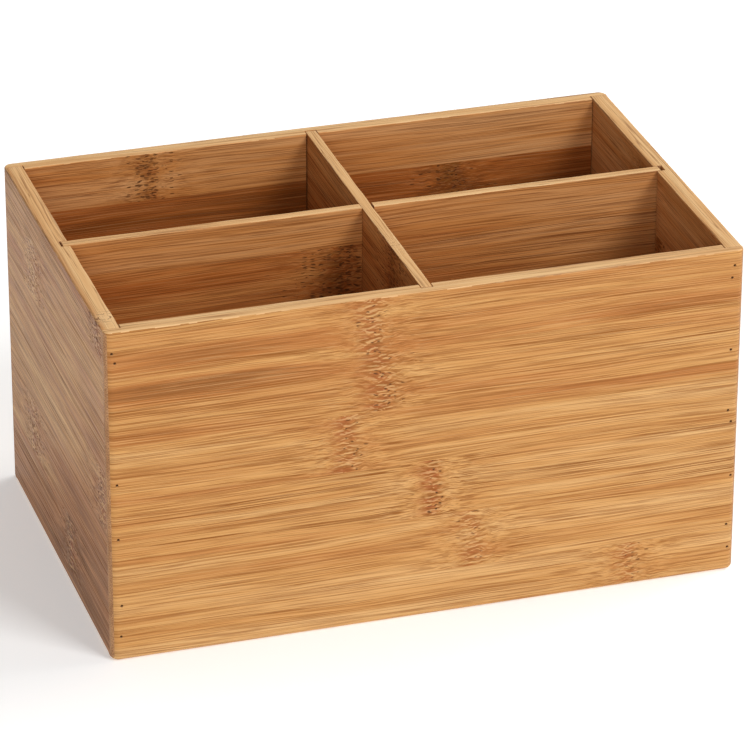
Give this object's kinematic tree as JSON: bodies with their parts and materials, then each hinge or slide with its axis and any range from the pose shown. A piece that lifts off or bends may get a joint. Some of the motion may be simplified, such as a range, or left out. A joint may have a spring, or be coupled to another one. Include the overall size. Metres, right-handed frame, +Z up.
{
  "type": "compartment organiser box",
  "caption": "Open rectangular bamboo box with rabbeted, pinned corners, a grooved-in floor and two half-lapped dividers that lift out.",
  "frame": {"origin": "centre of the box's footprint, at the base it stands on", "axes": "+X along the longest side, +Y from the front to the back, +Z up through the open top"},
  "size_m": [0.235, 0.15, 0.129],
  "materials": {
    "panel_bamboo": "satin-lacquered carbonised bamboo, grain left to right",
    "side_bamboo": "satin-lacquered carbonised bamboo, grain front to back",
    "floor_bamboo": "satin-lacquered carbonised bamboo",
    "divider_bamboo": "satin-lacquered carbonised bamboo, thin board",
    "brad_steel": "darkened steel brad heads"
  },
  "bodies": {
    "case": {"front_panel": "panel_bamboo", "back_panel": "panel_bamboo", "left_panel": "side_bamboo", "right_panel": "side_bamboo", "floor_board": "floor_bamboo", "front_left_brads": "brad_steel", "front_right_brads": "brad_steel", "back_left_brads": "brad_steel", "back_right_brads": "brad_steel"},
    "long_divider": {"long_divider": "divider_bamboo"},
    "cross_divider": {"cross_divider": "divider_bamboo"}
  },
  "joints": [
    {"name": "long_divider_lift", "type": "slide", "parent": "case", "child": "long_divider", "axis": [0, 0, 1], "range_m": [0, 0.125]},
    {"name": "cross_divider_lift", "type": "slide", "parent": "long_divider", "child": "cross_divider", "axis": [0, 0, 1], "range_m": [0, 0.125]}
  ]
}
